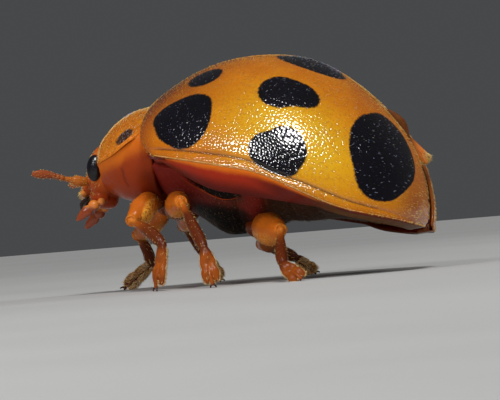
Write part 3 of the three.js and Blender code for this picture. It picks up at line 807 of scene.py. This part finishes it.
def pronotum():
    u, v = np.meshgrid(eased(80), np.sin(np.linspace(-1, 1, 130) * math.pi / 2), indexing="ij")
    side = np.abs(v)
    near = np.minimum.reduce([(1 - side) * 1.8, u * 1.6, (1 - u) * 1.6]) / 0.08
    round_off = 0.07 * (1 - np.sqrt(1 - (1 - np.clip(near, 0, 1)) ** 2))
    bead = 0.03 * bump(side, 0.985, 0.02) - 0.02 * bump(side, 0.94, 0.025)
    top = shield_point(u, v, round_off - bead + skirt(u, v))
    bottom = shield_point(u, v, 0.16 - 0.08 * smooth(side, 0.7, 1) - round_off * 0.5 + skirt(u, v))
    piece("pronotum_shield", slab_of(top, bottom), SHIELD, "shield", "pronotum",
          **two_sided(shield_values(u, v), 1.0, spot=9.0))


def pronotum_hairs(count):
    """Hairs lying forward, longer and stouter near the middle, with a fringe at the front edge."""
    u, v = rng.random(count), rng.uniform(-1, 1, count)
    u = np.where(rng.random(count) < 0.2, 1 - 0.07 * u, u)
    v = np.where(rng.random(count) < 0.4, 0.45 * v, v)
    at, normal, lie = places(lambda a, b: shield_point(a, b, skirt(a, b)), u, v, -STEP, STEP, [-1, 0, -1])
    out = smooth(np.abs(v), 0.2, 0.5)
    # More pale hairs along the top and the front edge: painted glints as well as the hairs' own colour.
    pale = np.maximum(0.4 + 0.55 * (1 - out), smooth(u, 0.92, 0.95))
    spot = shield_values(u, v)["spot"]
    body_hairs("pronotum_hairs", at, normal, lie, lerp(0.1, 0.07, out), lerp(0.015, 0.008, out)[:, None],
               np.stack([u, v / 2 + 0.5], 1), HAIR, "shield", 0.9, 0.3, pale, spot=spot)


def scutellum():
    u, s = np.meshgrid(np.linspace(0, 1, 30), np.linspace(-1, 1, 24), indexing="ij")
    x = lerp(-0.02, 0.42, u)
    y = s * (0.005 + 0.19 * (1 - u**1.4))
    top = np.stack([x, y, roof_at(x, 0 * x, 0) + 0.02 - 0.05 * s * s - 0.03 * u], -1)
    verts, faces = slab_of(top, top - [0, 0, 0.18])
    x, y, _ = verts.T
    piece("scutellum_plate", (verts, faces), SHIELD, "shield", "scutellum", spot=9 + 0 * x,
          edge=0.5 + 0 * x, along=x, across=y)


pronotum()
pronotum_hairs(4000)
scutellum()

# --- Folded hind wings ---

BLADE_ROOT, BLADE_RUN = 6.3, 0.7  # where the right hind wing comes free, and how far back it runs


def blade_top(share):
    """Height of the right hind wing's free blade, share from its root to its point."""
    return lerp(1.75, 1.27, share)


def blade_depth(share, across=1.0):
    return 0.04 + lerp(0.55, 0.22, share) * across * np.sqrt(1 - share**6)


def hind_wing(name, side):
    """A wing folded under its case. The left one ends in a rounded fold between the cases and a strip in
    the gap behind it, the right one in a free blade."""
    end = 7.28 if side < 0 else BLADE_ROOT + BLADE_RUN
    along, s = np.meshgrid(np.linspace(0, 1, 260), np.linspace(0, 1, 70), indexing="ij")
    x = lerp(0.9, end, along**0.8)
    seam = 0.24 * bump(x, 6.08, 0.4, 4) - (0.26 * bump(x, 6.85, 0.3) if side > 0 else 0)
    reach = lerp(0.5 * outline_at(x / LENGTH) * HALF_WIDTH, 0.46, smooth(x, 5.6, 6.4))
    y = side * 0.02 + seam + side * reach * s**1.6
    in_gap = 1 - smooth(np.abs(y), 0.16, 0.27)
    top = roof_at(x, y, 0.4)
    thick = 0.16 + 0 * x
    if side < 0:
        swell = bump(x, 6.05, 0.5, 3.4) * in_gap
        top = lerp(top, roof_at(x, 0 * y, 0) + 0.2 + 0.35 * (x - 6.1) - 0.1 * (s - 0.4) ** 2, swell)
        thick = thick + 0.5 * swell
        strip = smooth(x, 6.55, 6.7)
        y = lerp(y, 0.24 - 0.48 * s, strip)
        top = lerp(top, roof_at(x, y, 0.16), strip)
        thick = lerp(thick, 0.06, strip)
        tip = 0 * x
    else:
        share = np.clip((x - BLADE_ROOT) / BLADE_RUN, 0, 1)
        free = smooth(x, 6.0, BLADE_ROOT)
        y = lerp(y, 0.06 - 0.16 * (s - 0.5), free)
        top = lerp(top, blade_top(share) - 0.9 * (s - 0.5) ** 2, smooth(x, 6.1, 6.4))
        thick = lerp(thick, blade_depth(share, np.sqrt(1 - (2 * s - 1) ** 2)), free)
        tip = 0.9 * smooth(x, 6.35, 6.8)
    built = slab_of(np.stack([x, y, top], -1), np.stack([x, y, top - thick], -1))
    piece("hind_wing_" + name, built, WING, "hind_wing", "hindwing_" + name,
          across=np.tile(s.ravel(), 2), tip=np.tile(tip.ravel(), 2))


def wing_fringe(count):
    """Hairs on the lower and rear edge of the right hind wing's blade."""
    share = 1 - 0.5 * rng.random(count) ** 1.3
    drop = np.where(share > 0.8, rng.random(count), 1) * blade_depth(share)
    y = 0.06 + rng.uniform(-0.09, 0.05, count)
    at = np.stack([BLADE_ROOT + BLADE_RUN * share, y, blade_top(share) - drop], 1)
    out = [0.6, -0.4, -0.4] + rng.normal(0, 0.2, (count, 3))
    body_hairs("wing_fringe", at, out, [0.8, -0.1, -0.6], 0.14, 0.007, np.stack([share, y + 0.4], 1), HAIR,
               "hind_wing", 0.8, 0.9, 0.95)


for name, side in SIDES.items():
    hind_wing(name, side)
wing_fringe(520)

# --- Thorax and abdomen ---

# How deep the underside's midline hangs at places along the body, and the height of the breast seam.
KEEL = ((0, .95), (1.2, 1.2), (2.3, 1.52), (3.0, 1.36), (3.9, .9), (5.2, .66), (6.6, .6))
SEAM = ((1.33, -.33), (1.55, -.46), (1.935, -.6), (2.2, -.685), (2.46, -.72), (2.86, -.62))


def lens_line(x):
    """How far out the breast seam runs under each wing case, with the shadowed gap beyond it."""
    return 1.86 + 0.25 * ((x - 2.35) / 0.95) ** 2


def flesh_piece(name, built, tone, material, slot, *nodes, shade=lambda p: 0 * p[:, 0], **values):
    """A piece whose tone and shade are worked out from its places."""
    p = built[0]
    piece(name, built, material, slot, *nodes, tone=tone(p), shade=shade(p), **values)


def trunk():
    """Thorax and abdomen in one skin, under the wing cases."""
    t, a = eased(190, 0.03)[:, None], circle(120)[None]
    x = lerp(0.1, 6.55, t) + 0 * a
    shut = (2 * np.sqrt(t * (1 - t))) ** np.where(t < 0.5, 0.35, 0.42)
    half = FLANGE * outline_at(x / LENGTH) * HALF_WIDTH * 0.875 - 0.14
    y = half * shut * np.cos(a)
    edge = rim_at(x / LENGTH) * 0.6 - 0.2
    top = np.maximum(roof_at(x, half * np.cos(a), 0.99), edge + 0.06)
    under = lerp(-stops(x, *KEEL), edge, np.abs(np.cos(a)) ** 1.7)
    z = np.where(np.sin(a) > 0, lerp(edge, top, np.minimum(1, np.sin(a) * 2.5)), under)
    z = lerp(edge, z, shut)
    plates = sum(bump(x, at, 0.035) for at in (2.75, 3.45, 4.1, 4.7, 5.25, 5.75))
    keel = bump(np.sin(a), -1, 0.9)
    verts, faces = loft(np.stack([x, y * (1 - 0.015 * plates), z + 0.05 * plates * keel], -1))
    x, y, z = verts.T
    middle = smooth(-z, 0.75, 1.0) * smooth(x, 1.2, 1.6) * (1 - smooth(x, 3.0, 3.5))
    gap = smooth(np.abs(y) - lens_line(x), -0.02, 0.02) * smooth(x, 1.3, 1.5) * (1 - smooth(x, 2.85, 3.1))
    hip = bump(x, 3.2, 0.3) * bump(np.abs(y), 1.7, 0.75)
    piece("trunk_skin", (verts, faces), TRUNK, "belly", "thorax", "abdomen",
          tone=smooth(x, 1.4, 3.4) - hip, shade=np.clip(middle + gap - hip, 0, 1))
    for name, side in SIDES.items():
        line = [[x, side * (lens_line(x) + 0.01), z - 0.01] for x, z in SEAM]
        built = limb(line, (0, 0, 1), ((0, 0.01), (0.5, 0.02), (1, 0.01)), ((0, 0.012), (1, 0.012)), 40, 10)
        flesh_piece("breast_seam_" + name, built, lambda p: 1 + 0 * p[:, 0], HEAD, "belly")
    at, normal = sown(verts, faces, 60, lambda p, n: (n[:, 2] < 0.2) * smooth(p[:, 0], 0.8, 1.6))
    uv = np.stack([at[:, 0] / 7, np.arctan2(at[:, 2] + 0.4, at[:, 1]) / (2 * math.pi) + 0.5], 1)
    body_hairs("belly_hairs", at, normal, [1.0, 0, -0.2], 0.06, 0.0045, uv, DOWN, "belly", 0.9, 0.4)


trunk()

# --- Head and prothorax ---


def crease_at(z):
    """Where the fold in the prothorax's side runs, by height."""
    return stops(-z, (0.3, -0.34), (0.49, -0.273), (0.65, -0.209), (0.75, -0.14))


def prothorax():
    """A skin from the pronotum's edges down round the throat, with a fold on each side."""
    u, v = np.meshgrid(np.linspace(0.0, 1.0, 60), np.linspace(-0.97, 0.97, 60), indexing="ij")
    roof = shield_point(u, v, 0.1 + skirt(u, v), 0.04)
    margin = roof[:, -1:]
    a = np.linspace(0, math.pi, 90)[None, 1:-1]
    share = np.sin(a)
    t = u[:, :1]
    hull = np.stack([lerp(margin[..., 0], lerp(0.6, -0.95, t), share**0.6),
                     margin[..., 1] * np.sign(np.cos(a)) * np.abs(np.cos(a)) ** 0.62,
                     lerp(margin[..., 2], -0.92 - 0.16 * np.sin(math.pi * t) ** 0.7, share**1.1)], -1)
    skin = fused([loft(np.concatenate([roof, hull], 1))], 0.024, 8)
    x, y, z = skin[0].T
    fold = bump(x - crease_at(z), 0, 0.05) * smooth(-z, 0.3, 0.42) * (1 - smooth(-z, 0.7, 0.85))
    skin[0][:, 1] -= np.sign(y) * 0.03 * fold

    # Deeper red towards the bottom, where the wall turns under: painted shade. It is a little deeper behind
    # the fold too.
    def tone(p):
        x, _, z = p.T
        return smooth(-z + 0.5 * x + 0.1 * smooth(x - crease_at(z), 0, 0.1), -0.25, 0.35)

    def shade(p):
        return np.clip(0.35 * fold + 0.6 * smooth(p[:, 0], -0.1, 0.5) * smooth(-p[:, 2], 0.1, 0.5), 0, 1)

    flesh_piece("prothorax_skin", skin, tone, HEAD, "head", "prothorax", shade=shade)


def head():
    skin = [egg([-1.12, 0, -0.42], [0.52, 0.9, 0.76], square=0.12),
            egg([-1.5, 0, -0.92], [0.24, 0.42, 0.2], 0.5),
            egg([-1.12, 0, -1.12], [0.36, 0.46, 0.26], square=0.1)]
    for side in SIDES.values():
        skin.append(egg([-1.42, side * 0.62, -0.74], [0.13, 0.15, 0.13]))
        skin.append(egg([-1.14, side * 0.42, -1.1], [0.26, 0.22, 0.2]))
    skin = fused(skin, 0.026, 6)

    def tone(p):
        return np.maximum(smooth(-p[:, 2], 0.3, 1.2), 0.45 * smooth(p[:, 2], -0.4, -0.1))

    flesh_piece("head_skin", skin, tone, HEAD, "head", "head", "lower_lip")
    at, normal = sown(*skin, 130, lambda p, n: (n[:, 0] < 0.1) * 0.8)
    uv = np.stack([at[:, 1] / 2.2 + 0.5, at[:, 2] / 2 + 0.7], 1)
    # Mostly pale: painted glints on the face as well as the hairs' own colour.
    body_hairs("head_hairs", at, normal, [-0.3, 0, -1.0], 0.08, 0.006, uv, HAIR, "head", 0.5, 0.3, 0.85)
    lip = fused([egg([-1.62, 0, -1.06], [0.17, 0.34, 0.13], 0.7),
                 egg([-1.55, 0, -1.0], [0.1, 0.3, 0.1])], 0.02)
    flesh_piece("labrum", lip, lambda p: 0.1 + 0 * p[:, 0], MOUTH, "head", "upper_lip")
    at, normal = sown(*lip, 220, lambda p, n: n[:, 0] < 0.2)
    uv = np.stack([at[:, 1] + 0.5, at[:, 2] + 1.4], 1)
    # Nearly all pale: painted glints on the lip as well as the hairs' own colour.
    body_hairs("labrum_hairs", at, normal, [-0.6, 0, -1.0], 0.1, 0.007, uv, HAIR, "head", 0.7, 0.3, 0.95)


def jaw(name, side):
    line = [[-1.46, side * .2, -1.14], [-1.63, side * .22, -1.34], [-1.67, side * .08, -1.54]]
    hook = limb(line, (0, 1, 0), ((0, .09), (.5, .08), (1, .03)), ((0, .06), (.5, .055), (1, .025)))
    piece("jaw_" + name, fused([hook], 0.012, 2), JAW, "jaw", "mandible_" + name)


def palp(name, side):
    """A short stem, a round joint and an axe-shaped end. The right one hangs further ahead."""
    ahead = 0.1 * (1 + side)

    def hung(x, y, z):
        return [x - ahead, side * y, z - 0.65 * ahead]

    girth = ((0, .08), (.6, .1), (1, .06))
    stem = limb([hung(-.98, .52, -1.14), hung(-1.05, .58, -1.23), hung(-1.11, .61, -1.28)], (1, 0, -1),
                girth, girth)
    joint = egg(hung(-1.185, .66, -1.355), [.145, .13, .145])
    end = limb([hung(-1.2, .67, -1.38), hung(-1.36, .71, -1.57), hung(-1.53, .76, -1.81)], (1, 0, -1),
               ((0, .07), (.15, .13), (.3, .15), (.7, .11), (1, .06)),
               ((0, .06), (.3, .08), (.7, .06), (1, .04)), blunt=0.4)
    flesh_piece(f"palp_{name}_skin", fused([stem, joint, end], 0.012, 2),
                lambda p: smooth(-p[:, 2], 1.35, 1.5), MOUTH, "head", "palp_" + name)


def feeler(name, side):
    """A stout base, a row of beads and a flat club, finely haired."""
    line = [[-1.4, side * .62, -.78], [-1.66, side * .86, -.81], [-1.98, side * 1.12, -.81],
            [-2.28, side * 1.36, -.79], [-2.64, side * 1.62, -.85]]
    base = limb(line[:3], (0, 0, 1), ((0, .1), (.15, .13), (.45, .14), (.75, .08), (1, .07)),
                ((0, .1), (.4, .12), (.75, .08), (1, .07)))
    beads = [egg(p, [.085, .085, .075]) for p in path_of(line, np.array([.5, .57, .64]))]
    club = limb(line[2:], (0, 0, 1), ((0, .055), (.25, .065), (.45, .1), (.75, .115), (1, .1)),
                ((0, .055), (.35, .07), (.6, .075), (1, .06)))
    built = fused([base, club, *beads], 0.014, 2)
    flesh_piece("feeler_" + name, built, lambda p: smooth(-p[:, 0], 1.7, 2.3), FEELER, "antenna",
                "antenna_base_" + name, "antenna_club_" + name)
    at, normal = sown(*built, 260)
    round_it = np.arctan2(at[:, 2] + .78, np.abs(at[:, 1]) - 1) / 6.3 + .5
    body_hairs("feeler_hairs_" + name, at, normal, [-0.78, side * 0.62, 0.0], 0.055, 0.005,
               np.stack([(-at[:, 0] - 1.2) / 1.6, round_it], 1), HAIR, "antenna", 0.7, 0.6)


def eye(name, side):
    ball = egg(EYE_AT * [1, side, 1], EYE_SIZE, 0.14, rings=60, around=80)
    piece(f"eye_{name}_lens", ball, EYE, "eye", "eye_" + name)


prothorax()
head()
for name, side in SIDES.items():
    for make in (jaw, palp, feeler, eye):
        make(name, side)

# --- Legs, in the standing frame ---


def hoop(centre, axis, major, minor, rings=30, around=12):
    """A ring round an axis."""
    axis = unit(axis)
    one = unit(np.cross(axis, [0.3, 0.2, 1.0]))
    two = np.cross(axis, one)
    a, b = circle(rings)[:, None, None], circle(around)[None, :, None]
    spoke = one * np.cos(a) + two * np.sin(a)
    grid = np.asarray(centre) + spoke * (major + minor * np.cos(b)) + axis * minor * np.sin(b)
    verts = grid.reshape(-1, 3)
    return verts, turned_out(verts - verts.mean(0), [grid_quads(rings, around, ring=1, hoop=1)])


def leg(name, root, hip, knee, ankle, toe, thigh, deep):
    root, hip, knee, ankle, toe = (np.array(p, float) for p in (root, hip, knee, ankle, toe))
    side = SIDES[name.split("_")[1]]
    upright = np.array([0, 0, 1.0])
    thigh_line, shin_line = unit(knee - hip), unit(ankle - knee)
    inner = unit(shin_line - thigh_line * (shin_line @ thigh_line))
    femur = limb([hip, lerp(hip, knee, 0.5) + [0, 0, 0.03] + 0.05 * inner, knee], upright,
                 ((0, .2), (.3, thigh * .92), (.6, thigh), (.85, thigh * .74), (1, .19)),
                 ((0, .2), (.35, deep * .92), (.6, deep), (.85, deep * .76), (1, .19)), blunt=0.35)
    bend = lerp(knee, ankle, 0.5) - 0.05 * thigh_line
    tibia = limb([knee - 0.02 * thigh_line, bend, lerp(ankle, toe, 0.05)], upright,
                 ((0, .09), (.14, .1), (.36, .15), (.7, .175), (.95, .17), (1, .15)),
                 ((0, .1), (.2, .1), (.5, .135), (.8, .16), (1, .15)), blunt=0.35)
    coxa = limb([root, lerp(root, hip, 0.5), lerp(hip, knee, 0.04)], upright,
                ((0, .28), (.6, .3), (1, .22)), ((0, .32), (.6, .32), (1, .22)))
    down = unit(toe - ankle)
    out = np.array([-0.4, side * 0.8, 0.4] if name.startswith("front") else [0, side * 0.85, 0.5])
    out = unit(out - down * (down @ out))
    across = np.cross(down, out)
    size = np.linalg.norm(toe - ankle)

    def foot(rows, width, depth, blunt=0.5, **counts):
        """A limb through places of the foot: shares down it, then across it and out from it."""
        line = [ankle + down * (a * size) + across * b + out * c for a, b, c in rows]
        return limb(line, across, width, depth, blunt=blunt, **counts)

    parts = [coxa, femur, tibia, egg(knee, [0.09, 0.09, 0.09], rings=16, around=20),
             hoop(knee - 0.01 * thigh_line, thigh_line, 0.14, 0.026),
             foot([(-.02, 0, 0), (.2, 0, .01), (.42, 0, -.02)], ((0, .11), (.45, .15), (.85, .19), (1, .17)),
                  ((0, .11), (.6, .1), (1, .07)), 0.4)]
    for lobe in (-1, 1):
        parts.append(foot([(.12, lobe * .05, 0), (.34, lobe * .09, 0), (.52, lobe * .11, -.03)],
                          ((0, .07), (.6, .1), (1, .09)), ((0, .06), (1, .05)), 0.35))
        parts.append(foot([(.4, lobe * .06, 0), (.62, lobe * .1, 0), (.86, lobe * .085, -.04)],
                          ((0, .08), (.5, .12), (.85, .115), (1, .09)), ((0, .06), (.5, .07), (1, .05)),
                          0.45))
    parts.append(foot([(.46, 0, .03), (.74, 0, .07), (.95, 0, .03)], ((0, .035), (.5, .045), (1, .065)),
                      ((0, .03), (.5, .04), (1, .05)), 0.4))
    verts, faces = fused(parts, 0.018, 2)
    verts[:, 2] = np.maximum(verts[:, 2], 0.002)

    def tone(p):
        reach = (p - knee) @ shin_line
        shin = 0.4 * smooth(reach, 0.0, 0.15) + 0.5 * smooth(reach, 0.1, 0.6)
        # The right legs, on the side away from the lamps, are 0.3 deeper in tone: painted shade.
        return shin - 0.35 * smooth((p - ankle) @ down, 0.0, 0.3) + (0.3 if side > 0 else 0)

    def shade(p):
        return 0.85 * (1 - smooth((p - hip) @ thigh_line, -0.1, 0.12))

    rise = verts - hip
    t = rise @ thigh_line / np.linalg.norm(knee - hip)
    # Golden folds on the inner side of each femur, full only on the left front leg: partly the cuticle's own
    # colour, partly painted glints. The gold ring round each knee is a painted highlight.
    gold = smooth(rise @ inner / thigh, 0.35, 0.7) * smooth(t, 0.2, 0.4) * (1 - smooth(t, 0.85, 1.0))
    knee_glint = bump(np.linalg.norm(verts - knee, axis=1), 0.13, 0.06)
    gold = np.maximum(gold * (1 if name == "front_left" else 0.35), 0.2 * knee_glint)
    flesh_piece(f"leg_{name}", (verts, faces), tone, LEG, "leg", f"coxa_{name}", f"femur_{name}",
                f"tibia_{name}", f"tarsus_{name}", frame_of=on_floor, shade=shade, gold=gold)
    hook = ((0, .03), (.6, .02), (1, .005))
    claws = fused([foot([(.9, lobe * .03, .03), (.99, lobe * .065, .045), (1, lobe * .09, -.03)], hook, hook,
                        rings=14, around=10) for lobe in (-1, 1)], 0.008, 1)
    claws[0][:, 2] = np.maximum(claws[0][:, 2], 0.001)
    piece(f"claws_{name}", claws, JAW, "jaw", frame_of=on_floor)
    bones = ((hip, knee), (knee, ankle), (ankle, toe))

    def nearest(p):
        """Which of the bones each place is nearest to."""
        far = []
        for a, b in bones:
            share = np.clip((p - a) @ (b - a) / ((b - a) @ (b - a)), 0, 1)
            far.append(np.linalg.norm(p - a - share[:, None] * (b - a), axis=1))
        return np.argmin(far, 0)

    def haired(p, n):
        return np.choose(nearest(p), (0.06 + 0.4 * smooth(n @ inner, 0.4, 0.75), 0.22, 0.1))

    at, normal = sown(verts, faces, 320, haired)
    part = nearest(at)
    lie = np.stack([unit(b - a) for a, b in bones])[part]
    spread = np.stack([(at @ unit(toe - hip) * 0.18) % 1, (normal @ across * 0.3 + part * 0.3) % 1], 1)
    hairs(f"leg_hairs_{name}", on_floor(at), normal, lie, np.where(part == 0, 0.05, 0.08), 0.0055, spread,
          HAIR, "leg", 0.6, 0.5, 0.8)

    def sole(p, n):
        t = (p - ankle) @ down / size
        return ((t > 0.1) & (t < 0.9) & (n @ out < 0.1)).astype(float)

    at, normal = sown(verts, faces, 2200, sole)
    off = (at - ankle) @ across
    spread = np.stack([((at - ankle) @ down / size) * 0.9 % 1, (off + 0.5) % 1], 1)
    lie = 0.7 * down - 0.5 * out + np.sign(off)[:, None] * across
    hairs(f"pad_hairs_{name}", on_floor(at), normal, lie, 0.085, 0.006, spread, SOLE, "foot", 0.5, 0.8)


for name, joints in LEGS.items():
    leg(name, *joints)

# --- Studio ---


def floor():
    paint = plain_look("floor", (0.5, 0.5, 0.49), (0.54, 0.54, 0.53), (0.02, 0.5, 0.1), 0.02, 0.6, 0.75)
    ring = np.concatenate([[0.0], np.geomspace(0.01, 4, 24)])[:, None]
    a = circle(96)[None]
    grid = np.stack([ring * np.cos(a), ring * np.sin(a), 0 * ring * a], -1)
    me = mesh_of("floor", grid.reshape(-1, 3), [grid_quads(*grid.shape[:2], ring=1)])
    me.materials.append(paint)
    linked("floor", me)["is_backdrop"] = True


def lamp(name, toward, distance, width, height, power):
    """A softbox at a direction from the middle of the beetle, in millimetres, aimed at it."""
    light = bpy.data.lights.new(name, "AREA")
    light.shape = "RECTANGLE"
    light.size, light.size_y = width * MM, height * MM
    light.energy = power
    obj = linked(name, light)
    direction = Vector(toward).normalized()
    obj.location = Vector((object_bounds()[0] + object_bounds()[1]) / 2) + direction * distance * MM
    obj.rotation_euler = direction.to_track_quat("Z", "Y").to_euler()
    return obj


def sun(toward, width, strength):
    """A wide soft light from far away, which lights the floor evenly; its width in degrees."""
    light = bpy.data.lights.new("sky_panel", "SUN")
    light.energy, light.angle = strength, math.radians(width)
    linked("sky_panel", light).rotation_euler = Vector(toward).to_track_quat("Z", "Y").to_euler()


def camera():
    """Looks from the beetle's left and a little behind it, from low over the floor. Its right, its top
    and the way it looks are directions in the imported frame, its place is in the standing frame."""
    data = bpy.data.cameras.new("camera")
    data.sensor_width, data.lens = 36, 199.1
    data.clip_start, data.clip_end = 0.001, 20
    right, top, ahead = (.9673, .23995, -.08218), (.08285, .0073, .99654), (-.23972, .97076, .01282)
    turn = Matrix((right, top, [-k for k in ahead])).transposed().to_4x4()
    turn.translation = Vector(on_floor([19.2575, -68.0785, 1.1721]))
    obj = linked("camera", data)
    obj.matrix_world = turn
    bpy.context.scene.camera = obj


def surroundings(colour, strength):
    world = bpy.data.worlds.new("studio")
    world.use_nodes = True
    for socket, value in zip(world.node_tree.nodes["Background"].inputs, ((*colour, 1), strength)):
        socket.default_value = value
    bpy.context.scene.world = world


floor()
camera()
sun((0.22, -0.51, 0.83), 16, 1.85)
lamp("front_box", (-0.21, -0.79, 0.57), 85, 14, 14, 0.019)
lamp("rear_box", (0.76, 0.41, 0.5), 85, 20, 20, 0.014).visible_glossy = False
lamp("low_fill", (-0.35, -0.93, 0.06), 120, 70, 30, 0.045).visible_glossy = False
lamp("back_edge", (0.5, 0.84, 0.2), 100, 50, 30, 0.004).visible_glossy = False
surroundings((0.8, 0.82, 0.85), 0.08)
bpy.context.scene.view_settings.view_transform = "Standard"
